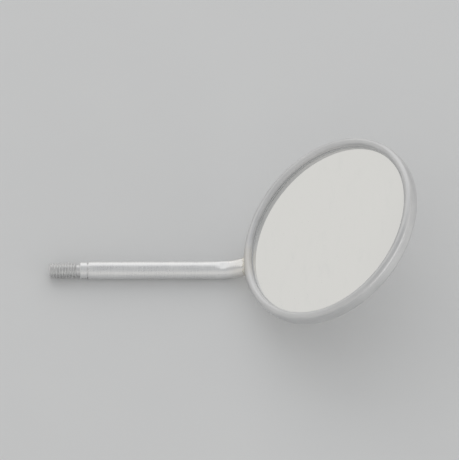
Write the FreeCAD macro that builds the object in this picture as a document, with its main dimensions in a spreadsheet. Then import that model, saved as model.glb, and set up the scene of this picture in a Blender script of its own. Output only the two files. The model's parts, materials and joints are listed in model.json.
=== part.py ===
"""Mouth mirror head: a round front-surface mirror in a rolled steel rim, brazed to a short bent stem that
screws into a separate handle.

Millimetres, +Z up. The stem's straight axis is Y, with the thread at -Y and the mirror at +Y. The origin is
on that axis, at the front edge of the pilot land that centres the stem in its handle. The mirror leans back
over the stem, so that it faces up and towards the handle.
"""
import FreeCAD, Part
import math
import os
import re
import Sketcher

Vector = FreeCAD.Vector

DIMENSIONS = {
    # stem, from the threaded end
    "thread_dia": 2.0,
    "thread_pitch": 0.4,
    "thread_length": 3.47,
    "thread_clearance": 0.02,
    "tip_chamfer": 0.25,
    "relief_dia": 1.5,
    "relief_length": 0.45,
    "pilot_dia": 2.15,
    "pilot_length": 0.85,
    "pilot_chamfer": 0.08,
    "groove_dia": 1.8,
    "groove_width": 0.15,
    "shank_dia": 2.3,
    "shank_chamfer": 0.03,
    "shank_lead": 0.4,
    "bend_start": 17.66,
    "bend_radius": 7.4,
    "bend_angle": 28.0,
    "tail_length": 1.4,
    "neck_thickness": 1.9,
    "neck_length": 2.6,
    "neck_top_rise": 1.15,
    "neck_back_fall": 0.25,
    # head
    "mirror_tilt": 38.7,
    "rim_dia": 25.4,
    "rim_height": 2.0,
    "sheet": 0.35,
    "lip_opening": 23.3,
    "back_round": 0.5,
    "back_opening": 22.9,
    "plate_sheet": 0.25,
    "plate_dia": 24.3,
    "boss_dia": 22.5,
    "boss_wall_run": 0.25,
    "pad_dia": 21.3,
    "glass_dia": 24.0,
    "glass_bevel": 0.12,
    "glass_front": 0.18,
    "coating": 0.04,
    "seal_film": 0.08,
    "seal_bore": 23.16,
    # filler metal round the stem's foot
    "root_depth": 0.6,
    "braze_reach": 1.0,
    "braze_start_width": -0.05,
    "braze_start_thinning": -0.25,
    "braze_foot_width": 0.35,
    "braze_foot_thinning": -0.17,
    "braze_root_width": 0.55,
}

# Lengths worked out from the driving ones, in the same plain names.
DERIVED = {
    "thread_radius": "thread_dia / 2",
    "thread_depth": "5 / 16 * sqrt(3) * thread_pitch",
    "relief_end": "-pilot_chamfer",
    "thread_end": "relief_end - relief_length",
    "tip": "thread_end - thread_length",
    "shank_radius": "shank_dia / 2",
    "shoulder": "pilot_length + groove_width",
    "rim_radius": "rim_dia / 2",
    "wall_radius": "rim_radius - sheet",
    "crest": "rim_height / 2",
    "curl_radius": "(rim_dia - lip_opening) / 4",
    "curl_base": "crest - curl_radius",
    "curl_bore": "curl_radius - sheet",
    "back_base": "back_round - crest",
    "flange_top": "sheet - crest",
    "back_corner": "back_round - sheet",
    "plate_top": "flange_top + plate_sheet",
    "boss_top": "plate_sheet - crest",
    "mirror_face": "glass_front + coating",
    "lip_end": "mirror_face + seal_film",
    "head_y": "bend_start + bend_radius * sin(bend_angle * 1 deg) + rim_radius * cos(mirror_tilt * 1 deg)",
    "head_z": "bend_radius * (1 - cos(bend_angle * 1 deg)) + rim_radius * sin(mirror_tilt * 1 deg)",
}

doc = FreeCAD.newDocument("MouthMirror")
sheet = doc.addObject("Spreadsheet::Sheet", "Sizes")


def fill_sheet():
    """Column A names each driving dimension and column B holds it, under its own name as alias."""
    for row, (name, value) in enumerate(DIMENSIONS.items(), start=1):
        sheet.set(f"A{row}", name)
        sheet.set(f"B{row}", str(value))
        sheet.setAlias(f"B{row}", name)
    doc.recompute()


def sized(text):
    """An expression in plain names, as one in the sheet's cells."""
    def cell(match):
        word = match.group(0)
        if word in DERIVED:
            return f"({sized(DERIVED[word])})"
        return f"Sizes.{word}" if word in DIMENSIONS else word

    return re.sub(r"[a-z_]+", cell, text)


def number(text):
    """The value that an expression has now."""
    return float(sheet.evalExpression(sized(text)))


def new_body(label):
    """A PartDesign body of its own label."""
    body = doc.addObject("PartDesign::Body", label)
    body.Label = label
    return body


def head_body(label):
    """A body in the head's frame: local Z is the mirror's axis, and the origin is the middle of the rim."""
    body = new_body(label)
    body.Placement = FreeCAD.Placement(Vector(), FreeCAD.Rotation(Vector(1, 0, 0), 1))
    body.setExpression("Placement.Base.y", sized("head_y"))
    body.setExpression("Placement.Base.z", sized("head_z"))
    body.setExpression("Placement.Rotation.Angle", sized("mirror_tilt"))
    return body


def new_sketch(body, name, role):
    """A sketch on one of the body's own origin planes."""
    sketch = body.newObject("Sketcher::SketchObject", name)
    plane = next(f for f in body.Origin.OriginFeatures if f.Role == role)
    sketch.AttachmentSupport = [(plane, "")]
    sketch.MapMode = "FlatFace"
    return sketch


def hold(sketch, kind, parts, text):
    """A dimension of the sketch that follows an expression."""
    index = sketch.addConstraint(Sketcher.Constraint(kind, *parts, number(text)))
    sketch.setExpression(f"Constraints[{index}]", sized(text))


def outline(sketch, corners):
    """A closed outline. Each corner is (x, y), or (x, y, radius, turn) where an arc leads to the next
    corner, turning left (1) or right (-1)."""
    places = [Vector(number(c[0]), number(c[1]), 0) for c in corners]
    for i, corner in enumerate(corners):
        start, end = places[i], places[(i + 1) % len(corners)]
        if len(corner) == 2:
            sketch.addGeometry(Part.LineSegment(start, end))
        else:
            sketch.addGeometry(arc_between(start, end, number(corner[2]), corner[3]))
    for i, corner in enumerate(corners):
        first = 2 if len(corner) == 4 and corner[3] < 0 else 1
        before = corners[i - 1]
        last = 1 if len(before) == 4 and before[3] < 0 else 2
        sketch.addConstraint(
            Sketcher.Constraint("Coincident", (i - 1) % len(corners), last, i, first)
        )
        hold(sketch, "DistanceX", (-1, 1, i, first), corner[0])
        hold(sketch, "DistanceY", (-1, 1, i, first), corner[1])
        if len(corner) == 4:
            hold(sketch, "Radius", (i,), corner[2])


def arc_between(start, end, radius, turn):
    """The arc of at most half a turn between two points."""
    chord = end - start
    middle = (start + end) * 0.5
    height = max(radius**2 - (chord.Length / 2) ** 2, 0.0) ** 0.5
    side = Vector(-chord.y, chord.x, 0).normalize()
    centre = middle + side * height * turn
    bulge = middle - centre
    if bulge.Length < 1e-9:
        bulge = side * -turn
    through = centre + bulge.normalize() * radius
    return Part.ArcOfCircle(start, through, end)


def revolve(body, name, corners, role="XZ_Plane"):
    """A turned solid: the outline spun about its sketch's vertical axis."""
    sketch = new_sketch(body, name + "_outline", role)
    outline(sketch, corners)
    turned = body.newObject("PartDesign::Revolution", name)
    turned.Profile = sketch
    turned.ReferenceAxis = (sketch, ["V_Axis"])
    turned.Angle = 360
    return turned


def bend_path(body, name):
    """The stem's centre line from the start of its bend, with a straight tail that runs on into the rim."""
    sketch = new_sketch(body, name, "YZ_Plane")
    turn = math.radians(number("bend_angle"))
    radius = number("bend_radius")
    start = Vector(number("bend_start"), 0, 0)
    centre = start + Vector(0, radius, 0)
    away = FreeCAD.Rotation(Vector(0, 0, 1), number("bend_angle"))
    half = FreeCAD.Rotation(Vector(0, 0, 1), number("bend_angle") / 2)
    end = centre + away.multVec(Vector(0, -radius, 0))
    through = centre + half.multVec(Vector(0, -radius, 0))
    tail = end + away.multVec(Vector(number("tail_length"), 0, 0))
    sketch.addGeometry(Part.ArcOfCircle(start, through, end))
    sketch.addGeometry(Part.LineSegment(end, tail))
    sketch.addConstraint(Sketcher.Constraint("Tangent", 0, 2, 1, 1))
    hold(sketch, "DistanceX", (-1, 1, 0, 1), "bend_start")
    sketch.addConstraint(Sketcher.Constraint("PointOnObject", 0, 1, -1))
    hold(sketch, "DistanceX", (-1, 1, 0, 3), "bend_start")
    hold(sketch, "Radius", (0,), "bend_radius")
    index = sketch.addConstraint(Sketcher.Constraint("Angle", -1, 1, 1, 1, turn))
    sketch.setExpression(f"Constraints[{index}]", sized("bend_angle * 1 deg"))
    hold(sketch, "Distance", (1,), "tail_length")
    return sketch


def round_section(body, name, radius, station):
    """A circle square to the stem's straight axis, at a station along it."""
    sketch = new_sketch(body, name, "XZ_Plane")
    sketch.setExpression("AttachmentOffset.Base.z", sized(f"-({station})"))
    sketch.addGeometry(Part.Circle(Vector(), Vector(0, 0, 1), number(radius)))
    sketch.addConstraint(Sketcher.Constraint("Coincident", 0, 3, -1, 1))
    hold(sketch, "Radius", (0,), radius)
    return sketch


def cut_by_head(body, name, corners):
    """Cuts a piece back by a solid turned about the mirror's axis. The outline is in the head's frame, with
    the stem at -x and the mirror's front at +y."""
    sketch = new_sketch(body, name + "_outline", "YZ_Plane")
    sketch.AttachmentOffset = FreeCAD.Placement(
        Vector(), FreeCAD.Rotation(Vector(0, 0, 1), 1)
    )
    sketch.setExpression("AttachmentOffset.Base.x", sized("head_y"))
    sketch.setExpression("AttachmentOffset.Base.y", sized("head_z"))
    sketch.setExpression("AttachmentOffset.Rotation.Angle", sized("mirror_tilt"))
    outline(sketch, corners)
    groove = body.newObject("PartDesign::Groove", name)
    groove.Profile = sketch
    groove.ReferenceAxis = (sketch, ["V_Axis"])
    groove.Angle = 360
    return groove


def make_stem():
    """One bar: thread, relief, pilot land, groove, shank and bend. Its neck is flattened above and below, to
    come within the rim's height."""
    body = new_body("stem")
    revolve(
        body,
        "turned_bar",
        [
            ("0", "tip"),
            ("thread_radius - tip_chamfer", "tip"),
            ("thread_radius", "tip + tip_chamfer"),
            ("thread_radius", "thread_end"),
            ("relief_dia / 2", "thread_end"),
            ("relief_dia / 2", "relief_end"),
            ("pilot_dia / 2 - pilot_chamfer", "relief_end"),
            ("pilot_dia / 2", "0"),
            ("pilot_dia / 2", "pilot_length"),
            ("groove_dia / 2", "pilot_length"),
            ("groove_dia / 2", "shoulder"),
            ("shank_radius - shank_chamfer", "shoulder"),
            ("shank_radius", "shoulder + shank_lead"),
            ("shank_radius", "bend_start"),
            ("0", "bend_start"),
        ],
        role="XY_Plane",
    )
    bend = body.newObject("PartDesign::AdditivePipe", "bend")
    bend.Profile = round_section(body, "bend_section", "shank_radius", "bend_start")
    bend.Spine = (bend_path(body, "bend_path"), [])
    foot = cut_by_head(
        body,
        "foot",
        [
            ("-rim_radius / 2", "-rim_height"),
            ("-rim_radius / 2", "rim_height"),
            ("-rim_radius", "rim_height"),
            ("-rim_radius", "-rim_height"),
        ],
    )
    top = cut_by_head(
        body,
        "neck_top",
        [
            ("-rim_radius / 2", "neck_thickness / 2"),
            ("-rim_radius / 2", "2 * rim_height"),
            ("-(rim_radius + neck_length)", "2 * rim_height"),
            ("-(rim_radius + neck_length)", "neck_thickness / 2 + neck_top_rise"),
            ("-rim_radius", "neck_thickness / 2"),
        ],
    )
    back = cut_by_head(
        body,
        "neck_back",
        [
            ("-rim_radius / 2", "-neck_thickness / 2"),
            ("-rim_radius", "-neck_thickness / 2"),
            ("-(rim_radius + neck_length)", "-(neck_thickness / 2 + neck_back_fall)"),
            ("-(rim_radius + neck_length)", "-2 * rim_height"),
            ("-rim_radius / 2", "-2 * rim_height"),
        ],
    )
    thread = cut_thread(body)
    return body, [foot, top, back, thread]


def cut_thread(body):
    """A metric thread, cut from past the tip into the relief."""
    sketch = new_sketch(body, "thread_outline", "XY_Plane")
    crest_gap = "thread_pitch * 7 / 16"
    root_gap = "thread_pitch / 8"
    run_out = "thread_clearance * tan(30 deg)"
    start = "tip - thread_pitch"
    outline(
        sketch,
        [
            ("thread_radius - thread_depth", f"{start} - {root_gap}"),
            ("thread_radius + thread_clearance", f"{start} - {crest_gap} - {run_out}"),
            ("thread_radius + thread_clearance", f"{start} + {crest_gap} + {run_out}"),
            ("thread_radius - thread_depth", f"{start} + {root_gap}"),
        ],
    )
    thread = body.newObject("PartDesign::SubtractiveHelix", "thread")
    thread.Profile = sketch
    thread.ReferenceAxis = (sketch, ["V_Axis"])
    thread.Mode = 0
    thread.setExpression("Pitch", sized("thread_pitch"))
    thread.setExpression("Height", sized("thread_length + thread_pitch + relief_length / 2"))
    return thread


def make_braze(stem):
    """Filler metal that flares from the stem onto the rim, wide along the rim and level with its edges."""
    body = new_body("braze_flare")
    flare = body.newObject("PartDesign::AdditiveLoft", "flare")
    root = head_point("(rim_radius - root_depth)")
    start = bend_point("braze_reach")
    foot = bend_point("0")
    sections = [
        oval_section(body, "flare_start", start, "braze_start_width", "braze_start_thinning"),
        oval_section(body, "flare_foot", foot, "braze_foot_width", "braze_foot_thinning"),
        oval_section(body, "flare_root", root, "braze_root_width", "braze_foot_thinning"),
    ]
    flare.Profile = sections[0]
    flare.Sections = [(s, [""]) for s in sections[1:]]
    rim_side = cut_by_head(
        body,
        "rim_side",
        [
            ("-rim_radius / 2", "-crest"),
            ("-rim_radius / 2", "crest"),
            ("-(rim_radius - curl_radius)", "crest", "curl_radius", 1),
            ("-rim_radius", "curl_base"),
            ("-rim_radius", "back_base", "back_round", 1),
            ("-(rim_radius - back_round)", "-crest"),
        ],
    )
    joint = doc.addObject("Part::Cut", "braze_joint")
    joint.Label = "braze_joint"
    joint.Base = body
    joint.Tool = stem
    return joint, [rim_side]


def bend_point(length):
    """A point of the bend's centre line, at a length back from its end: its place along Y and Z, and the
    line's slope there in degrees."""
    angle = f"(bend_angle - {length} / bend_radius * 180 / pi)"
    return (
        f"bend_start + bend_radius * sin({angle} * 1 deg)",
        f"bend_radius * (1 - cos({angle} * 1 deg))",
        angle,
    )


def head_point(radius):
    """A point at a radius from the head's middle, on the stem's side, with the slope of the head."""
    return (
        f"head_y - {radius} * cos(mirror_tilt * 1 deg)",
        f"head_z - {radius} * sin(mirror_tilt * 1 deg)",
        "mirror_tilt",
    )


def oval_section(body, name, place, width, thinning):
    """An ellipse square to a place's slope: the shank's round, with lengths added to its radius along the rim
    and across it."""
    sketch = new_sketch(body, name, "XZ_Plane")
    sketch.AttachmentOffset = FreeCAD.Placement(
        Vector(), FreeCAD.Rotation(Vector(1, 0, 0), 1)
    )
    along, up, slope = place
    sketch.setExpression("AttachmentOffset.Base.z", sized(f"-({along})"))
    sketch.setExpression("AttachmentOffset.Base.y", sized(up))
    sketch.setExpression("AttachmentOffset.Rotation.Angle", sized(slope))
    major = f"shank_radius + {width}"
    minor = f"shank_radius + {thinning}"
    sketch.addGeometry(Part.Ellipse(Vector(), number(major), number(minor)))
    sketch.exposeInternalGeometry(0)
    sketch.addConstraint(Sketcher.Constraint("Coincident", 0, 3, -1, 1))
    sketch.addConstraint(Sketcher.Constraint("Horizontal", 1))
    hold(sketch, "Distance", (1,), f"2 * ({major})")
    hold(sketch, "Distance", (2,), f"2 * ({minor})")
    return sketch


def make_rim():
    """The rim: one strip of sheet, turned in at the back and rolled over the glass at the front."""
    body = head_body("rim_frame")
    revolve(
        body,
        "rolled_strip",
        [
            ("back_opening / 2", "-crest"),
            ("rim_radius - back_round", "-crest", "back_round", 1),
            ("rim_radius", "back_base"),
            ("rim_radius", "curl_base", "curl_radius", 1),
            ("rim_radius - curl_radius", "crest", "curl_radius", 1),
            ("lip_opening / 2", "curl_base"),
            ("lip_opening / 2", "lip_end"),
            ("lip_opening / 2 + sheet", "lip_end"),
            ("lip_opening / 2 + sheet", "curl_base", "curl_bore", -1),
            ("rim_radius - curl_radius", "curl_base + curl_bore", "curl_bore", -1),
            ("wall_radius", "curl_base"),
            ("wall_radius", "back_base", "back_corner", -1),
            ("wall_radius - back_corner", "flange_top"),
            ("back_opening / 2", "flange_top"),
        ],
    )
    return body


def make_back_plate():
    """A pressed disc under the rim's back flange. Its boss comes out flush with the flange."""
    body = head_body("back_plate")
    revolve(
        body,
        "pressed_disc",
        [
            ("0", "-crest"),
            ("boss_dia / 2 - boss_wall_run", "-crest"),
            ("boss_dia / 2", "flange_top"),
            ("plate_dia / 2", "flange_top"),
            ("plate_dia / 2", "plate_top"),
            ("boss_dia / 2 - plate_sheet", "plate_top"),
            ("boss_dia / 2 - plate_sheet - boss_wall_run", "boss_top"),
            ("0", "boss_top"),
        ],
    )
    return body


def make_pad():
    """A soft disc that fills the back plate's boss and carries the glass."""
    body = head_body("backing_pad")
    revolve(
        body,
        "cut_disc",
        [
            ("0", "boss_top"),
            ("pad_dia / 2", "boss_top"),
            ("pad_dia / 2", "plate_top"),
            ("0", "plate_top"),
        ],
    )
    return body


def make_glass():
    """The mirror's glass disc, with both edges ground to a small bevel."""
    body = head_body("mirror_glass")
    revolve(
        body,
        "ground_disc",
        [
            ("0", "plate_top"),
            ("glass_dia / 2 - glass_bevel", "plate_top"),
            ("glass_dia / 2", "plate_top + glass_bevel"),
            ("glass_dia / 2", "glass_front - glass_bevel"),
            ("glass_dia / 2 - glass_bevel", "glass_front"),
            ("0", "glass_front"),
        ],
    )
    return body


def make_coating():
    """The reflecting layer on the front of the glass."""
    body = head_body("mirror_coating")
    revolve(
        body,
        "layer",
        [
            ("0", "glass_front"),
            ("glass_dia / 2 - glass_bevel", "glass_front"),
            ("glass_dia / 2 - glass_bevel", "mirror_face"),
            ("0", "mirror_face"),
        ],
    )
    return body


def make_seal():
    """The sealing ring: it fills the curl of the rim, wraps the edge of the glass and shows as a thin line
    inside the lip."""
    body = head_body("rim_seal")
    revolve(
        body,
        "moulded_ring",
        [
            ("glass_dia / 2 - glass_bevel", "plate_top"),
            ("plate_dia / 2", "plate_top"),
            ("plate_dia / 2", "flange_top"),
            ("wall_radius - back_corner", "flange_top", "back_corner", 1),
            ("wall_radius", "back_base"),
            ("wall_radius", "curl_base", "curl_bore", 1),
            ("rim_radius - curl_radius", "curl_base + curl_bore", "curl_bore", 1),
            ("lip_opening / 2 + sheet", "curl_base"),
            ("lip_opening / 2 + sheet", "lip_end"),
            ("seal_bore / 2", "lip_end"),
            ("seal_bore / 2", "mirror_face"),
            ("glass_dia / 2 - glass_bevel", "mirror_face"),
            ("glass_dia / 2 - glass_bevel", "glass_front"),
            ("glass_dia / 2", "glass_front - glass_bevel"),
            ("glass_dia / 2", "plate_top + glass_bevel"),
        ],
    )
    return body


def check_document():
    """Stops on a failed feature or a bad shape."""
    for item in doc.Objects:
        failed = [word for word in item.State if word in ("Invalid", "Error")]
        if failed:
            raise RuntimeError(f"{item.Label}: {failed}")


def check_cut(feature):
    """Stops if a cut has taken nothing away."""
    before = feature.BaseFeature.Shape.Volume
    after = feature.Shape.Volume
    if not after < before - 1e-4:
        raise RuntimeError(f"{feature.Label} cuts nothing: {before} to {after} mm3")


def main():
    fill_sheet()
    stem, stem_cuts = make_stem()
    braze, braze_cuts = make_braze(stem)
    bodies = [
        stem,
        braze,
        make_rim(),
        make_back_plate(),
        make_pad(),
        make_glass(),
        make_coating(),
        make_seal(),
    ]
    doc.recompute()
    check_document()
    for cut in stem_cuts + braze_cuts:
        check_cut(cut)
    os.makedirs("parts", exist_ok=True)
    for body in bodies:
        shape = body.Shape
        if shape.isNull() or not shape.isValid() or len(shape.Solids) != 1:
            raise RuntimeError(f"{body.Label} has no single valid solid")
        shape.exportStep(f"parts/{body.Label}.step")
        print(f"{body.Label:15s} {shape.Volume:9.3f} mm3")


main()
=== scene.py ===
import json
import math

import bpy
import numpy as np
from mathutils import Matrix, Vector


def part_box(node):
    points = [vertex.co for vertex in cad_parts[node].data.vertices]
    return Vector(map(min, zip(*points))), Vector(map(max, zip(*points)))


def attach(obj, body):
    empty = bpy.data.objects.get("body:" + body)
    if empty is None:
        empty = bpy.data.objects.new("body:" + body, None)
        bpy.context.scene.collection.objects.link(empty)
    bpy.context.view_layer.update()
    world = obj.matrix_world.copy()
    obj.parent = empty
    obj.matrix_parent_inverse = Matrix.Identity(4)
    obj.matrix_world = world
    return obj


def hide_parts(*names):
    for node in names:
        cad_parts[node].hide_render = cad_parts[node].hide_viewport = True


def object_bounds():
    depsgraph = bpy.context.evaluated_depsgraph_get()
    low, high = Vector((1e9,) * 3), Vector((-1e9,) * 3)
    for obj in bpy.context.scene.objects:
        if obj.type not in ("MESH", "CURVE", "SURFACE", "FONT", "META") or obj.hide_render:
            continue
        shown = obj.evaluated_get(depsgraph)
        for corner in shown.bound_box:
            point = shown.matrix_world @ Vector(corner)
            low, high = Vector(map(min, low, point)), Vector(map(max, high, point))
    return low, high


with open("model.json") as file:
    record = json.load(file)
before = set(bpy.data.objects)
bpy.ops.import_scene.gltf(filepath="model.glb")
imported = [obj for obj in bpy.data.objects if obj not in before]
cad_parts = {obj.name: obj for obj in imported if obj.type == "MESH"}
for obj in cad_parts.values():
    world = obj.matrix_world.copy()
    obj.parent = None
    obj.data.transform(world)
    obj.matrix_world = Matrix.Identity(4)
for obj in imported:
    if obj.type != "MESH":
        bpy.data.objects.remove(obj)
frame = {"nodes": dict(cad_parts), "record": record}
CAD_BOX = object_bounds()

# ---------------------------------------------------------------- sizes

MM = 0.001
TINY = 1e-9
ROOT = "root"
MOUNTS = {m["name"]: m for m in frame["record"]["mounts"]}

# The head's frame: its centre is the middle of the rim, and its Z is the way the mirror faces.
RIM_RADIUS = -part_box("rim_frame")[0].x
RIM_HALF_HEIGHT = 1.0 * MM
FACING = -Vector(MOUNTS["back_face"]["axis"]).normalized()
HEAD_CENTRE = Vector(MOUNTS["back_face"]["pos_m"]) + FACING * RIM_HALF_HEIGHT
HEAD_X = Vector((1, 0, 0))
HEAD_Y = FACING.cross(HEAD_X)
HEAD = Matrix.Translation(HEAD_CENTRE) @ Matrix((HEAD_X, HEAD_Y, FACING)).transposed().to_4x4()

# Sections of the head's pieces, as radius and height in the head's frame.
SHEET = 0.35 * MM
LIP_RADIUS = 11.65 * MM
LIP_END = 0.3 * MM
CURL = (RIM_RADIUS - LIP_RADIUS) / 2
BACK_ROUND = 0.5 * MM
BACK_OPENING = 11.45 * MM
FLANGE_TOP = SHEET - RIM_HALF_HEIGHT
INNER_CURL = 0.16 * MM
INNER_FOLD = 0.14 * MM
MIRROR_FACE = 0.22 * MM
GLASS_FRONT = 0.18 * MM
GLASS_RADIUS = 12.0 * MM
GLASS_BEVEL = 0.12 * MM
COATING_RADIUS = 11.88 * MM
SEAL_BORE = 11.58 * MM
PLATE_SHEET = 0.25 * MM
PLATE_RADIUS = 12.15 * MM
PLATE_TOP = FLANGE_TOP + PLATE_SHEET
BOSS_RADIUS = 11.25 * MM
BOSS_RUN = 0.25 * MM

# The stem: stations are distances along its centre line from the origin.
STEM_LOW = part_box("stem")[0]
TIP = STEM_LOW.y
SHANK_RADIUS = -STEM_LOW.z
PILOT_RADIUS = MOUNTS["handle_pilot"]["dims"]["r_mm"] * MM
PILOT_LENGTH = MOUNTS["handle_pilot"]["dims"]["length_mm"] * MM
THREAD_RADIUS = MOUNTS["handle_thread"]["dims"]["r_mm"] * MM
THREAD_END = MOUNTS["handle_thread"]["pos_m"][1]
THREAD_PITCH = 0.4 * MM
THREAD_DEPTH = 0.5413 * THREAD_PITCH
THREAD_END_ROUND = 0.03 * MM
TIP_CHAMFER = 0.25 * MM
RELIEF_RADIUS = 0.75 * MM
RELIEF_END = -0.08 * MM
GROOVE_RADIUS = 0.9 * MM
SHOULDER = PILOT_LENGTH + 0.15 * MM
SHANK_CHAMFER = 0.03 * MM
SHANK_LEAD = 0.4 * MM
BEND_RADIUS = 7.4 * MM
NECK_HALF = 0.95 * MM
NECK_LENGTH = 2.6 * MM
NECK_TOP_RISE = 1.15 * MM
NECK_BACK_FALL = 0.25 * MM
NECK_EDGE = 0.14 * MM
RUN_OUT_START = 0.8
RUN_OUT_END = 1.25
RUN_OUT_RISE = 4 * MM
FOOT_SINK = 0.05 * MM
FOOT = HEAD_CENTRE - HEAD_Y * RIM_RADIUS
BEND_ANGLE = math.acos(1 - FOOT.z / BEND_RADIUS)
BEND_START = FOOT.y - BEND_RADIUS * math.sin(BEND_ANGLE)
STEM_LENGTH = BEND_START + BEND_RADIUS * BEND_ANGLE

# The braze: how far it reaches back along the stem, on its flats and more on its sides, and how far it
# spreads from the foot over the rim, along its round and over its height. Its edge sinks a little into the
# stem. The handles of its curve are shares of its span: LEAVE and FLARE ahead and outward from the stem, and
# ARRIVE back from the rim. ROOT and the CORE values close it inside the rim and the stem.
BRAZE_REACH = 0.22 * MM
BRAZE_SIDE_REACH = 0.4 * MM
BRAZE_SPREAD = 1.5 * MM
BRAZE_RISE = 1.12 * MM
BRAZE_SINK = 0.015 * MM
BRAZE_LEAVE = 0.5
BRAZE_FLARE = 0.09
BRAZE_ARRIVE = 0.38
BRAZE_ROOT = 0.15 * MM
BRAZE_CORE = 0.8
BRAZE_CORE_FLATTENING = 0.6
BRAZE_CORE_DEPTH = 0.2 * MM


# ---------------------------------------------------------------- mesh building

def rounded(corners, steps=8, closed=True):
    """The points of an outline of (x, y, radius) corners, each rounded off by an arc of its radius."""
    points = []
    count = len(corners)
    for i, (x, y, radius) in enumerate(corners):
        here = Vector((x, y))
        at_end = not closed and i in (0, count - 1)
        if radius <= 0 or at_end:
            points.append(here)
            continue
        before = Vector(corners[i - 1][:2]) - here
        after = Vector(corners[(i + 1) % count][:2]) - here
        half = before.angle(after) / 2
        reach = radius / math.tan(half)
        start = here + before.normalized() * reach
        end = here + after.normalized() * reach
        middle = here + (before.normalized() + after.normalized()).normalized() * (radius / math.sin(half))
        first = start - middle
        sweep = first.angle_signed(end - middle)
        for step in range(steps + 1):
            turn = Matrix.Rotation(-sweep * step / steps, 2)
            points.append(middle + turn @ first)
    return points


def new_piece(name, vertices, faces, own=None, sharp_degrees=32):
    """A mesh object, smooth but for edges sharper than the given angle. own holds each vertex's place in the
    piece's own frame, where Z is the axis it was turned about."""
    mesh = bpy.data.meshes.new(name)
    mesh.from_pydata([tuple(v) for v in vertices], [], faces)
    mesh.shade_smooth()
    mesh.set_sharp_from_angle(angle=math.radians(sharp_degrees))
    if own is not None:
        store(mesh, "own", own)
    piece = bpy.data.objects.new(name, mesh)
    bpy.context.scene.collection.objects.link(piece)
    return piece


def store(mesh, name, vectors):
    """Keeps a vector for each vertex, under a name that the materials read."""
    attribute = mesh.attributes.new(name, "FLOAT_VECTOR", "POINT")
    attribute.data.foreach_set("vector", [part for vector in vectors for part in vector])


def grid_faces(rows, columns, close_rows):
    """Quads between rows of points, each row a closed ring."""
    faces = []
    for i in range(rows if close_rows else rows - 1):
        for j in range(columns):
            a = i * columns + j
            b = i * columns + (j + 1) % columns
            c = (i + 1) % rows * columns + (j + 1) % columns
            d = (i + 1) % rows * columns + j
            faces.append((a, b, c, d))
    return faces


def spin(name, outline, segments=288, waver=None):
    """A piece turned about the head's axis. An outline that starts and ends on the axis gets a pole at each
    end; any other is closed into a ring. waver gives a point's change of radius at an angle."""
    on_axis = abs(outline[0].x) < TINY
    ring = outline[1:-1] if on_axis else outline
    vertices = []
    for point in ring:
        for j in range(segments):
            angle = math.tau * j / segments
            radius = point.x + (waver(point, angle) if waver else 0)
            vertices.append((radius * math.cos(angle), radius * math.sin(angle), point.y))
    faces = grid_faces(len(ring), segments, close_rows=not on_axis)
    if on_axis:
        low, high = len(vertices), len(vertices) + 1
        vertices += [(0, 0, outline[0].y), (0, 0, outline[-1].y)]
        last = (len(ring) - 1) * segments
        for j in range(segments):
            after = (j + 1) % segments
            faces.append((low, after, j))
            faces.append((high, last + j, last + after))
    piece = new_piece(name, [HEAD @ Vector(v) for v in vertices], faces, own=vertices)
    around = [HEAD_Y * v[0] - HEAD_X * v[1] for v in vertices]
    store(piece.data, "grain", [a.normalized() if a.length > 0 else HEAD_X for a in around])
    return piece


def ripple(angle, *waves):
    """A sum of (lobes, phase, height) waves round a circle."""
    return sum(height * math.sin(lobes * angle + phase) for lobes, phase, height in waves)


# ---------------------------------------------------------------- the head's pieces

def make_rim():
    """The rolled rim. Its spun lip wavers by a few micrometres, as hand-rolled sheet does."""
    corners = [
        (BACK_OPENING, -RIM_HALF_HEIGHT, 0.12 * MM),
        (RIM_RADIUS, -RIM_HALF_HEIGHT, BACK_ROUND),
        (RIM_RADIUS, RIM_HALF_HEIGHT, CURL * 0.999),
        (LIP_RADIUS, RIM_HALF_HEIGHT, CURL * 0.999),
        (LIP_RADIUS, LIP_END, 0.1 * MM),
        (LIP_RADIUS + SHEET, LIP_END, 0.02 * MM),
        (LIP_RADIUS + SHEET, RIM_HALF_HEIGHT - SHEET, INNER_CURL),
        (RIM_RADIUS - SHEET, RIM_HALF_HEIGHT - SHEET, INNER_CURL),
        (RIM_RADIUS - SHEET, FLANGE_TOP, INNER_FOLD),
        (BACK_OPENING, FLANGE_TOP, 0.1 * MM),
    ]

    def waver(point, angle):
        lip = point.x < LIP_RADIUS + 0.2 * MM and 0 < point.y < RIM_HALF_HEIGHT - 0.15 * MM
        if lip:
            return ripple(angle, (3, 0.4, 8e-6), (7, 1.9, 5e-6), (19, 0.2, 3e-6))
        return 0

    rim = spin("rim", rounded(corners, steps=12), waver=waver)
    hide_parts("rim_frame")
    return rim


def make_mirror():
    """The reflecting layer, a flat disc with a fine broken edge."""
    corners = [
        (0, GLASS_FRONT, 0),
        (COATING_RADIUS, GLASS_FRONT, 0),
        (COATING_RADIUS, MIRROR_FACE, 0.015 * MM),
        (0, MIRROR_FACE, 0),
    ]
    mirror = spin("mirror", rounded(corners, steps=4, closed=False))
    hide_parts("mirror_coating")
    return mirror


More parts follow.
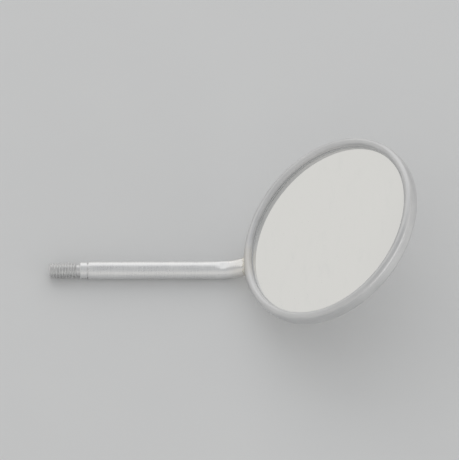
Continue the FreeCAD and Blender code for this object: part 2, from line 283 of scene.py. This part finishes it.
def make_seal():
    """The sealing ring. The little of it that is squeezed out inside the lip has a rounded, uneven edge."""
    corners = [
        (SEAL_BORE, MIRROR_FACE, 0),
        (COATING_RADIUS, MIRROR_FACE, 0),
        (COATING_RADIUS, GLASS_FRONT, 0),
        (GLASS_RADIUS, GLASS_FRONT - GLASS_BEVEL, 0),
        (GLASS_RADIUS, PLATE_TOP + GLASS_BEVEL, 0),
        (COATING_RADIUS, PLATE_TOP, 0),
        (PLATE_RADIUS, PLATE_TOP, 0),
        (PLATE_RADIUS, FLANGE_TOP, 0),
        (RIM_RADIUS - SHEET, FLANGE_TOP, INNER_FOLD),
        (RIM_RADIUS - SHEET, RIM_HALF_HEIGHT - SHEET, INNER_CURL),
        (LIP_RADIUS + SHEET, RIM_HALF_HEIGHT - SHEET, INNER_CURL),
        (LIP_RADIUS + SHEET, LIP_END, 0),
        (SEAL_BORE, LIP_END, 0.07 * MM),
    ]

    def waver(point, angle):
        if point.x < SEAL_BORE + 0.08 * MM:
            return ripple(angle, (5, 0.9, 9e-6), (11, 2.3, 7e-6), (23, 1.1, 5e-6), (41, 0.3, 3e-6))
        return 0

    seal = spin("seal", rounded(corners, steps=6), waver=waver)
    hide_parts("rim_seal")
    return seal


def make_back_plate():
    """The pressed back plate, with drawn radii round its boss."""
    corners = [
        (0, -RIM_HALF_HEIGHT, 0),
        (BOSS_RADIUS - BOSS_RUN, -RIM_HALF_HEIGHT, 0.16 * MM),
        (BOSS_RADIUS, FLANGE_TOP, 0.12 * MM),
        (PLATE_RADIUS, FLANGE_TOP, 0.03 * MM),
        (PLATE_RADIUS, PLATE_TOP, 0.03 * MM),
        (BOSS_RADIUS - PLATE_SHEET, PLATE_TOP, 0.12 * MM),
        (BOSS_RADIUS - PLATE_SHEET - BOSS_RUN, PLATE_SHEET - RIM_HALF_HEIGHT, 0.12 * MM),
        (0, PLATE_SHEET - RIM_HALF_HEIGHT, 0),
    ]
    plate = spin("back_plate_pressed", rounded(corners, closed=False))
    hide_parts("back_plate")
    return plate


# ---------------------------------------------------------------- the stem and its joint

def centre_line(station):
    """A point of the stem's centre line, and the line's direction and its upward normal there."""
    if station <= BEND_START:
        return Vector((0, station, 0)), Vector((0, 1, 0)), Vector((0, 0, 1))
    angle = (station - BEND_START) / BEND_RADIUS
    sine, cosine = math.sin(angle), math.cos(angle)
    point = Vector((0, BEND_START + BEND_RADIUS * sine, BEND_RADIUS * (1 - cosine)))
    return point, Vector((0, cosine, sine)), Vector((0, -sine, cosine))


def thread_radius(station, angle):
    """The radius of a right-hand metric thread at a station and at an angle from +Z towards +X."""
    turns = (station - TIP) / THREAD_PITCH - (angle / math.tau - 0.25)
    from_root = abs(turns - round(turns)) * THREAD_PITCH
    flank = (from_root - THREAD_PITCH / 8) / math.tan(math.radians(30))
    depth = min(max(flank, 0), THREAD_DEPTH)
    return THREAD_RADIUS - THREAD_DEPTH + depth


def stem_outline():
    """The stem's radius against its station, with broken edges, from the middle of the tip to the bend."""
    corners = [
        (TIP, 0, 0),
        (TIP, THREAD_RADIUS - TIP_CHAMFER, 0.04 * MM),
        (TIP + TIP_CHAMFER, THREAD_RADIUS, 0.04 * MM),
        (THREAD_END, THREAD_RADIUS, THREAD_END_ROUND),
        (THREAD_END, RELIEF_RADIUS, 0.05 * MM),
        (RELIEF_END, RELIEF_RADIUS, 0.05 * MM),
        (RELIEF_END, PILOT_RADIUS + RELIEF_END, 0.02 * MM),
        (0, PILOT_RADIUS, 0.03 * MM),
        (PILOT_LENGTH, PILOT_RADIUS, 0.025 * MM),
        (PILOT_LENGTH, GROOVE_RADIUS, 0.02 * MM),
        (SHOULDER, GROOVE_RADIUS, 0.02 * MM),
        (SHOULDER, SHANK_RADIUS - SHANK_CHAMFER, 0.03 * MM),
        (SHOULDER + SHANK_LEAD, SHANK_RADIUS, 0.3 * MM),
        (BEND_START, SHANK_RADIUS, 0),
    ]
    return rounded(corners, steps=6, closed=False)


def with_thread_rings(outline):
    """The outline with close rings added along the thread, fine enough for its flanks."""
    step = THREAD_PITCH / 24
    tolerance = 0.001 * MM
    first = next(i for i, p in enumerate(outline) if p.x > TIP + TINY)
    last = max(i for i, p in enumerate(outline) if p.x < THREAD_END - THREAD_END_ROUND + tolerance)
    stations = [p.x for p in outline[first:last + 1]]
    radii = [p.y for p in outline[first:last + 1]]
    fine = np.linspace(stations[0], stations[-1], int((stations[-1] - stations[0]) / step))
    middle = [Vector((s, float(np.interp(s, stations, radii)))) for s in fine]
    return outline[:first] + middle + outline[last + 1:]


def soft_min(a, b, blend):
    """The lesser of two lengths, with a rounded change from one to the other."""
    gap = max(blend - abs(a - b), 0) / blend
    return min(a, b) - gap * gap * blend / 4


def pressed(point):
    """The point, held between the two flats that thin the neck to the rim's height. From a share of the
    neck's length, RUN_OUT_START, they curve away, so that they leave no step."""
    local = HEAD.inverted() @ point
    share = (Vector((local.x, local.y)).length - RIM_RADIUS) / NECK_LENGTH
    if local.y > 0 or share > RUN_OUT_END:
        return point
    run_out = RUN_OUT_RISE * max(share - RUN_OUT_START, 0) ** 2
    local.z = soft_min(local.z, NECK_HALF + NECK_TOP_RISE * share + run_out, NECK_EDGE)
    local.z = -soft_min(-local.z, NECK_HALF + NECK_BACK_FALL * share + run_out, NECK_EDGE)
    return HEAD @ local


def stem_point(station, angle, radius=SHANK_RADIUS):
    """A point of the stem's surface, at an angle from its upper side towards +X."""
    middle, _, up = centre_line(station)
    return pressed(middle + (up * math.cos(angle) + HEAD_X * math.sin(angle)) * radius)


def stem_rows():
    """The stem's rings, as station and radius, from the tip's edge to the foot."""
    turned = [(p.x, p.y) for p in with_thread_rings(stem_outline())[1:-1]]
    straight = np.linspace(turned[-1][0], BEND_START, 22)[1:]
    bend = np.linspace(BEND_START, STEM_LENGTH, 56)[1:]
    return turned + [(float(s), SHANK_RADIUS) for s in (*straight, *bend)]


def make_stem(segments=112):
    """The stem, with its thread cut in the round and its foot shaped to the rim's wall."""
    vertices, own, grain, depths = [], [], [], []
    angles = [math.tau * j / segments for j in range(segments)]
    rows = stem_rows()
    for station, radius in rows:
        up = centre_line(station)[2]
        for angle in angles:
            here = min(radius, thread_radius(station, angle)) if station < THREAD_END else radius
            vertices.append(stem_point(station, angle, here))
            own.append((math.sin(angle) * here, math.cos(angle) * here, station))
            grain.append(HEAD_X * math.cos(angle) - up * math.sin(angle))
            depths.append((SHANK_RADIUS - here) / (SHANK_RADIUS - RELIEF_RADIUS))
    ahead = centre_line(STEM_LENGTH)[1]
    for k in range(len(vertices) - segments, len(vertices)):
        vertices[k] = onto_rim_wall(vertices[k], ahead)
    faces = grid_faces(len(rows), segments, close_rows=False)
    tip, foot = len(vertices), len(vertices) + 1
    vertices += [Vector((0, TIP, 0)), onto_rim_wall(FOOT, ahead)]
    own += [(0, 0, TIP), (0, 0, STEM_LENGTH)]
    grain += [HEAD_X, HEAD_X]
    depths += [0.3, 0]
    last = (len(rows) - 1) * segments
    for j in range(segments):
        after = (j + 1) % segments
        faces.append((tip, after, j))
        faces.append((foot, last + j, last + after))
    stem = new_piece("stem_bar", vertices, faces, own=own, sharp_degrees=40)
    store(stem.data, "grain", grain)
    attribute = stem.data.attributes.new("depth", "FLOAT", "POINT")
    attribute.data.foreach_set("value", depths)
    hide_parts("stem")
    return stem


def onto_rim_wall(point, ahead):
    """The point moved along a direction until it is just inside the rim's outer wall."""
    local = HEAD.inverted() @ point
    way = HEAD.to_3x3().inverted() @ ahead
    target = RIM_RADIUS - FOOT_SINK
    a = way.x**2 + way.y**2
    b = 2 * (local.x * way.x + local.y * way.y)
    c = local.x**2 + local.y**2 - target**2
    travel = (-b - math.sqrt(b * b - 4 * a * c)) / (2 * a)
    return point + ahead * travel


def rim_surface(across, along):
    """A point on the rim's outside, at arc lengths from the stem's foot: across over the wall's height and
    along its round."""
    radius, height = RIM_RADIUS, across
    top = RIM_HALF_HEIGHT - CURL
    bottom = BACK_ROUND - RIM_HALF_HEIGHT
    if across > top:
        turn = (across - top) / CURL
        radius = RIM_RADIUS - CURL * (1 - math.cos(turn))
        height = top + CURL * math.sin(turn)
    elif across < bottom:
        turn = (bottom - across) / BACK_ROUND
        radius = RIM_RADIUS - BACK_ROUND * (1 - math.cos(turn))
        height = bottom - BACK_ROUND * math.sin(turn)
    angle = along / RIM_RADIUS
    return HEAD @ Vector((radius * math.sin(angle), -radius * math.cos(angle), height))


def bezier(a, b, c, d, share):
    """A point of the cubic curve from a to d, with handles b and c, at a share of its way."""
    rest = 1 - share
    return a * rest**3 + b * (3 * rest**2 * share) + c * (3 * rest * share**2) + d * share**3


def make_braze(segments=144, steps=22):
    """The braze: a concave fillet from the stem to the rim, uneven at both its edges, closed inside them."""
    columns = []
    foot, ahead_at_foot, up_at_foot = centre_line(STEM_LENGTH)
    for j in range(segments):
        angle = math.tau * j / segments
        reach = BRAZE_REACH + BRAZE_SIDE_REACH * abs(math.sin(angle))
        reach += ripple(angle, (3, 0.7, 2e-5), (7, 2.1, 1.2e-5), (13, 0.4, 6e-6))
        spread = BRAZE_SPREAD + ripple(angle, (2, 1.2, 1.5e-5), (5, 0.3, 1.8e-5), (11, 2.6, 8e-6))
        rise = BRAZE_RISE + ripple(angle, (3, 2.0, 1.2e-5), (8, 0.8, 8e-6))
        middle, ahead, _ = centre_line(STEM_LENGTH - reach)
        start = stem_point(STEM_LENGTH - reach, angle)
        outward = (start - middle).normalized()
        start -= outward * BRAZE_SINK
        across, along = rise * math.cos(angle), spread * math.sin(angle)
        end = rim_surface(across, along)
        back = (rim_surface(across * 0.9, along * 0.9) - end).normalized()
        span = (end - start).length
        leave = start + (ahead * BRAZE_LEAVE + outward * BRAZE_FLARE) * span
        arrive = end + back * span * BRAZE_ARRIVE
        column = [bezier(start, leave, arrive, end, k / steps) for k in range(steps + 1)]
        foot_radial = up_at_foot * math.cos(angle) * BRAZE_CORE_FLATTENING + HEAD_X * math.sin(angle)
        column.append(end + (HEAD_CENTRE - end).normalized() * BRAZE_ROOT)
        column.append(foot + ahead_at_foot * BRAZE_CORE_DEPTH + foot_radial * SHANK_RADIUS * BRAZE_CORE)
        column.append(stem_point(STEM_LENGTH - reach, angle, SHANK_RADIUS * BRAZE_CORE))
        columns.append(column)
    rows = [columns[j][k] for k in range(steps + 4) for j in range(segments)]
    faces = grid_faces(steps + 4, segments, close_rows=True)
    braze = new_piece("braze_fillet", rows, faces, sharp_degrees=50)
    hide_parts("braze_joint")
    return braze


# ---------------------------------------------------------------- materials

class Look:
    """A material built up node by node. node returns a new node. set, bump and brushed_around feed the
    shader. Every other method returns a socket that others can use."""

    def __init__(self, name, shader):
        self.material = bpy.data.materials.new(name)
        self.material.use_nodes = True
        self.tree = self.material.node_tree
        self.shader = self.tree.nodes["Principled BSDF"]
        for socket, value in shader.items():
            self.shader.inputs[socket].default_value = value

    def node(self, kind, inputs, **settings):
        """A node with the settings given, and its inputs linked to sockets or set to values."""
        made = self.tree.nodes.new(kind)
        for name, value in settings.items():
            setattr(made, name, value)
        for key, value in inputs.items():
            if isinstance(value, bpy.types.NodeSocket):
                self.tree.links.new(value, made.inputs[key])
            else:
                made.inputs[key].default_value = value
        return made

    def place(self):
        """Where a point is, in millimetres."""
        coordinates = self.node("ShaderNodeTexCoord", {}).outputs["Object"]
        return self.vector("SCALE", coordinates, scale=1000)

    def own_place(self):
        """Where a point is in its piece's own frame, in millimetres."""
        own = self.node("ShaderNodeAttribute", {}, attribute_name="own").outputs["Vector"]
        return self.vector("SCALE", own, scale=1000)

    def vector(self, operation, a, b=(0, 0, 0), scale=1.0):
        inputs = {0: a}
        if operation == "SCALE":
            inputs["Scale"] = scale
        elif operation not in ("LENGTH", "NORMALIZE"):
            inputs[1] = b
        made = self.node("ShaderNodeVectorMath", inputs, operation=operation)
        return made.outputs["Value" if operation in ("LENGTH", "DISTANCE") else "Vector"]

    def math(self, operation, a, b):
        return self.node("ShaderNodeMath", {0: a, 1: b}, operation=operation).outputs[0]

    def noise(self, vector, scale, detail=2.0, roughness=0.5, w=None):
        inputs = {"Vector": vector, "Scale": scale, "Detail": detail, "Roughness": roughness}
        if w is not None:
            inputs["W"] = w
        made = self.node("ShaderNodeTexNoise", inputs, noise_dimensions="3D" if w is None else "4D")
        return made.outputs["Fac"]

    def range(self, value, low, high, to_low=0.0, to_high=1.0):
        """The value's share of the way from low to high, eased, as a number between two others."""
        inputs = {"Value": value, "From Min": low, "From Max": high, "To Min": to_low, "To Max": to_high}
        return self.node("ShaderNodeMapRange", inputs, interpolation_type="SMOOTHSTEP").outputs["Result"]

    def mix(self, share, a, b):
        made = self.node("ShaderNodeMix", {0: share}, data_type="RGBA")
        for socket, value in ((made.inputs[6], a), (made.inputs[7], b)):
            if isinstance(value, bpy.types.NodeSocket):
                self.tree.links.new(value, socket)
            else:
                socket.default_value = (*value, 1)
        return made.outputs[2]

    def add(self, *values):
        total = values[0]
        for value in values[1:]:
            total = self.math("ADD", total, value)
        return total

    def times(self, *values):
        total = values[0]
        for value in values[1:]:
            total = self.math("MULTIPLY", total, value)
        return total

    def set(self, **sockets):
        for name, socket in sockets.items():
            self.tree.links.new(socket, self.shader.inputs[name.replace("_", " ").title()])

    def bump(self, height, distance):
        """Relief on the surface: a height of 1 stands out by the distance, in metres."""
        made = self.node("ShaderNodeBump", {"Height": height, "Distance": distance, "Strength": 1.0})
        self.tree.links.new(made.outputs["Normal"], self.shader.inputs["Normal"])

    def brushed_around(self):
        """Turns the stretch of the highlights to the way that the piece was turned."""
        grain = self.node("ShaderNodeAttribute", {}, attribute_name="grain").outputs["Vector"]
        self.tree.links.new(grain, self.shader.inputs["Tangent"])

    def circular_streaks(self, place, length, fineness, detail):
        """Streaks that run round the piece's Z axis: length is their count round it, over 6, and fineness
        their number in a millimetre across."""
        split = self.node("ShaderNodeSeparateXYZ", {"Vector": place})
        sides = {"X": split.outputs["X"], "Y": split.outputs["Y"]}
        flat = self.node("ShaderNodeCombineXYZ", sides).outputs[0]
        radius = self.vector("LENGTH", flat)
        heading = self.vector("SCALE", self.vector("NORMALIZE", flat), scale=length)
        way = self.node("ShaderNodeSeparateXYZ", {"Vector": heading})
        across = self.times(radius, fineness)
        spot = self.node(
            "ShaderNodeCombineXYZ", {"X": way.outputs["X"], "Y": way.outputs["Y"], "Z": across}
        ).outputs[0]
        return self.noise(spot, 1.0, detail, w=self.times(split.outputs["Z"], fineness))


STEEL = {"Metallic": 1.0, "Anisotropic": 0.45}
BAR_LIGHT = (0.89, 0.89, 0.885)
BAR_DARK = (0.76, 0.76, 0.765)
SHEET_LIGHT = (0.78, 0.78, 0.78)
SHEET_DARK = (0.65, 0.65, 0.655)
STRAW = (0.72, 0.66, 0.54)


def heat_tint(look, place, foot, colour):
    """Steel's straw colour close to the brazed joint, fading out over two millimetres."""
    away = look.vector("DISTANCE", place, tuple(foot / MM))
    patchy = look.noise(place, 0.9, 2.0)
    edge = look.add(away, look.times(look.math("SUBTRACT", patchy, 0.5), 1.4))
    share = look.range(edge, 1.4, 3.2, 0.22, 0.0)
    return look.mix(share, colour, STRAW)


def spun_steel(name, fine, rough_low, rough_high, tinted):
    """Satin sheet steel, finished on a lathe, with streaks round the axis, a few scratches and faint marks of
    handling."""
    look = Look(name, STEEL)
    place = look.own_place()
    streaks = look.circular_streaks(place, 5.0, fine, 3.0)
    broad = look.circular_streaks(place, 2.0, fine / 5, 1.0)
    cloud = look.noise(place, 0.35, 3.0)
    hair = look.noise(look.vector("MULTIPLY", place, (0.5, 9.0, 0.5)), 1.6, 1.0)
    scratch = look.range(hair, 0.70, 0.735)
    shade = look.add(look.times(streaks, 0.5), look.times(broad, 0.3), look.times(cloud, 0.35))
    colour = look.mix(look.range(shade, 0.35, 0.8), SHEET_DARK, SHEET_LIGHT)
    if tinted:
        colour = heat_tint(look, place, HEAD.inverted() @ FOOT, colour)
    look.set(base_color=colour)
    rough = look.range(shade, 0.35, 0.8, rough_low, rough_high)
    look.set(roughness=look.math("SUBTRACT", rough, look.times(scratch, 0.08)))
    look.bump(look.add(streaks, look.times(broad, 0.6), look.times(scratch, -0.5)), 1.6e-6)
    look.brushed_around()
    return look.material


def turned_steel():
    """The stem's steel: turning marks round it, polishing marks along it, and painted shade in the thread and
    grooves.
    """
    look = Look("turned_steel", STEEL)
    place = look.own_place()
    rings = look.noise(look.vector("MULTIPLY", place, (1.0, 1.0, 14.0)), 1.0, 2.0)
    lengthwise = look.noise(look.vector("MULTIPLY", place, (7.0, 7.0, 0.35)), 1.5, 3.0)
    cloud = look.noise(place, 0.5, 3.0)
    scratch = look.range(look.noise(look.vector("MULTIPLY", place, (6.0, 6.0, 0.5)), 1.3, 0.0), 0.74, 0.77)
    shade = look.add(look.times(rings, 0.4), look.times(lengthwise, 0.4), look.times(cloud, 0.3))
    colour = look.mix(look.range(shade, 0.35, 0.75), BAR_DARK, BAR_LIGHT)
    colour = heat_tint(look, place, Vector((0, 0, STEM_LENGTH)), colour)
    depth = look.node("ShaderNodeAttribute", {}, attribute_name="depth").outputs["Fac"]
    # Painted shade: where the stem is cut below the shank, in the thread's roots and the grooves, the colour
    # darkens in patches.
    patches = look.range(look.noise(place, 3.0, 3.0), 0.3, 0.7, 0.5, 1.0)
    painted_valley_shade = look.times(look.range(depth, 0.45, 1.0), patches)
    painted_recess_shade = look.add(look.times(look.range(depth, 0.2, 0.38), 0.06), look.times(painted_valley_shade, 0.14))
    # The painted shade mixes the steel's colour towards a near-black grey, and also makes those places
    # rougher.
    look.set(base_color=look.mix(painted_recess_shade, colour, (0.20, 0.195, 0.185)))
    rough = look.range(shade, 0.35, 0.75, 0.26, 0.38)
    rough = look.add(look.math("SUBTRACT", rough, look.times(scratch, 0.07)), look.times(painted_recess_shade, 0.25))
    look.set(roughness=rough)
    look.bump(look.add(rings, look.times(lengthwise, 0.5), look.times(scratch, -0.6)), 1.8e-6)
    look.brushed_around()
    return look.material


def braze_metal():
    """Silver braze, wiped smooth: a little warmer than the steel, with shallow pits and flow marks."""
    look = Look("braze_metal", {"Metallic": 1.0})
    place = look.place()
    flow = look.noise(place, 2.6, 3.0, 0.6)
    pits = look.range(look.noise(place, 9.0, 1.0), 0.66, 0.74)
    colour = look.mix(look.range(flow, 0.3, 0.7), (0.68, 0.65, 0.58), (0.80, 0.78, 0.73))
    look.set(base_color=look.mix(look.times(pits, 0.35), colour, (0.30, 0.28, 0.24)))
    look.set(roughness=look.add(look.range(flow, 0.3, 0.7, 0.20, 0.36), look.times(pits, 0.25)))
    look.bump(look.add(flow, look.times(pits, -0.35)), 1.4e-5)
    return look.material


def mirror_layer():
    """The mirror: near-perfect, with a wiped haze and a slightly duller margin."""
    look = Look("mirror_layer", {"Metallic": 1.0})
    place = look.own_place()
    wipe = look.noise(look.vector("MULTIPLY", place, (0.5, 1.4, 1.0)), 0.5, 4.0, 0.6)
    specks = look.range(look.noise(place, 5.5, 1.0), 0.755, 0.79)
    margin = look.range(look.vector("LENGTH", place), COATING_RADIUS / MM - 0.9, COATING_RADIUS / MM)
    haze = look.range(wipe, 0.5, 0.8)
    dulled = look.add(look.times(haze, 0.35), look.times(margin, 0.3))
    colour = look.mix(dulled, (0.90, 0.90, 0.885), (0.84, 0.85, 0.84))
    look.set(base_color=look.mix(look.times(specks, 0.3), colour, (0.6, 0.6, 0.6)))
    rough = look.add(look.times(haze, 0.035), look.times(specks, 0.2), look.times(margin, 0.02), 0.012)
    look.set(roughness=rough)
    return look.material


def seal_rubber():
    """Light grey silicone, matt, with a moulded grain."""
    look = Look("seal_rubber", {"Specular IOR Level": 0.4})
    place = look.own_place()
    grain = look.noise(place, 7.0, 3.0)
    look.set(base_color=look.mix(look.range(grain, 0.3, 0.7), (0.58, 0.585, 0.59), (0.68, 0.685, 0.69)))
    look.set(roughness=look.range(grain, 0.3, 0.7, 0.5, 0.7))
    look.bump(grain, 1.2e-5)
    return look.material


def clear_glass():
    """The glass under the reflecting layer, faintly green, with ground edges."""
    look = Look("clear_glass", {"Transmission Weight": 1.0, "IOR": 1.52})
    place = look.place()
    cloud = look.noise(place, 0.8, 2.0)
    look.set(base_color=look.mix(cloud, (0.82, 0.90, 0.86), (0.88, 0.94, 0.91)))
    look.set(roughness=look.range(cloud, 0.3, 0.7, 0.02, 0.08))
    return look.material


def pad_foam():
    """The backing pad's dark foam."""
    look = Look("pad_foam", {"Specular IOR Level": 0.3})
    place = look.place()
    cells = look.node("ShaderNodeTexVoronoi", {"Vector": place, "Scale": 4.0}).outputs["Distance"]
    look.set(base_color=look.mix(look.range(cells, 0.1, 0.7), (0.02, 0.02, 0.022), (0.06, 0.06, 0.064)))
    look.set(roughness=look.range(cells, 0.1, 0.7, 0.75, 0.95))
    look.bump(cells, 4e-5)
    return look.material


def floor_paint():
    """A plain pale studio floor with a very faint grain."""
    look = Look("floor_paint", {"Specular IOR Level": 0.25})
    place = look.place()
    grain = look.noise(place, 0.08, 3.0)
    look.set(base_color=look.mix(grain, (0.74, 0.745, 0.75), (0.77, 0.775, 0.775)))
    look.set(roughness=look.range(grain, 0.3, 0.7, 0.55, 0.65))
    return look.material


def wear(piece, material):
    """Gives a piece, or a CAD node, its one material."""
    piece.data.materials.clear()
    piece.data.materials.append(material)
    for face in piece.data.polygons:
        face.material_index = 0


# ---------------------------------------------------------------- studio

def make_floor():
    """A square floor at the bottom of the part's box."""
    half = 1.6
    lowest = CAD_BOX[0].z
    corners = [(-half, -half, lowest), (half, -half, lowest), (half, half, lowest), (-half, half, lowest)]
    floor = new_piece("floor", corners, [(0, 1, 2, 3)])
    return floor


HORIZON = (0.73, 0.725, 0.71)
OVERHEAD = (0.54, 0.545, 0.55)


def make_world():
    """Soft surroundings: pale all round the horizon and dimmer overhead."""
    world = bpy.data.worlds.new("studio")
    world.use_nodes = True
    bpy.context.scene.world = world
    tree = world.node_tree
    way = tree.nodes.new("ShaderNodeTexCoord").outputs["Generated"]
    split = tree.nodes.new("ShaderNodeSeparateXYZ")
    tree.links.new(way, split.inputs[0])
    ramp = tree.nodes.new("ShaderNodeValToRGB")
    ramp.color_ramp.interpolation = "EASE"
    for stop, position, colour in zip(ramp.color_ramp.elements, (0.35, 0.85), (HORIZON, OVERHEAD)):
        stop.position = position
        stop.color = (*colour, 1)
    tree.links.new(split.outputs["Z"], ramp.inputs[0])
    background = tree.nodes["Background"]
    tree.links.new(ramp.outputs[0], background.inputs["Color"])


def softbox(name, way, distance, width, height, watts):
    """A large rectangular light that faces the middle of the part from the given way."""
    data = bpy.data.lights.new(name, "AREA")
    data.shape = "RECTANGLE"
    data.size, data.size_y = width, height
    data.energy = watts
    lamp = bpy.data.objects.new(name, data)
    bpy.context.scene.collection.objects.link(lamp)
    way = Vector(way).normalized()
    lamp.location = (CAD_BOX[0] + CAD_BOX[1]) / 2 + way * distance
    lamp.rotation_mode = "QUATERNION"
    lamp.rotation_quaternion = way.to_track_quat("Z", "Y")
    return lamp


def make_lights():
    softbox("key", way=(-0.76, 0.02, 0.65), distance=0.9, width=1.3, height=0.8, watts=1.35)
    softbox("low_fill", way=(0.55, 0.80, 0.22), distance=0.9, width=0.9, height=0.5, watts=0.8)


# The photograph's viewing angle: the ways to the camera and to the right of its picture.
TO_CAMERA = Vector((0.577, -0.044, 0.8155)).normalized()
PICTURE_RIGHT = Vector((0.026, 0.999, 0.035)).normalized()
LENS = 200
SENSOR = 36
FILL = 0.80


def make_camera():
    """A long lens at the photograph's angle, with the object's length taking up most of the picture."""
    up = TO_CAMERA.cross(PICTURE_RIGHT).normalized()
    right = up.cross(TO_CAMERA).normalized()
    points = [v.co for node in frame["nodes"].values() for v in node.data.vertices]
    ways = (right, up, TO_CAMERA)
    spans = []
    for way in ways:
        along = [p.dot(way) for p in points]
        spans.append((min(along), max(along)))
    middle = sum((way * (low + high) / 2 for way, (low, high) in zip(ways, spans)), Vector())
    width = spans[0][1] - spans[0][0]
    data = bpy.data.cameras.new("camera")
    data.lens = LENS
    data.sensor_width = SENSOR
    distance = width / FILL * LENS / SENSOR
    data.clip_start, data.clip_end = distance * 0.1, distance * 20
    camera = bpy.data.objects.new("camera", data)
    bpy.context.scene.collection.objects.link(camera)
    facing = Matrix((right, up, TO_CAMERA)).transposed().to_4x4()
    camera.matrix_world = Matrix.Translation(middle + TO_CAMERA * distance) @ facing
    bpy.context.scene.camera = camera


# ---------------------------------------------------------------- the scene

def main():
    make_camera()
    made = {
        make_rim(): spun_steel("spun_steel", fine=9.0, rough_low=0.42, rough_high=0.56, tinted=True),
        make_back_plate(): spun_steel("plate_steel", fine=6.0, rough_low=0.28, rough_high=0.42, tinted=False),
        make_mirror(): mirror_layer(),
        make_seal(): seal_rubber(),
        make_stem(): turned_steel(),
        make_braze(): braze_metal(),
    }
    for piece, material in made.items():
        wear(piece, material)
        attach(piece, ROOT)
    wear(frame["nodes"]["mirror_glass"], clear_glass())
    wear(frame["nodes"]["backing_pad"], pad_foam())
    wear(make_floor(), floor_paint())
    make_world()
    make_lights()
    bpy.context.scene.view_settings.view_transform = "Standard"


main()
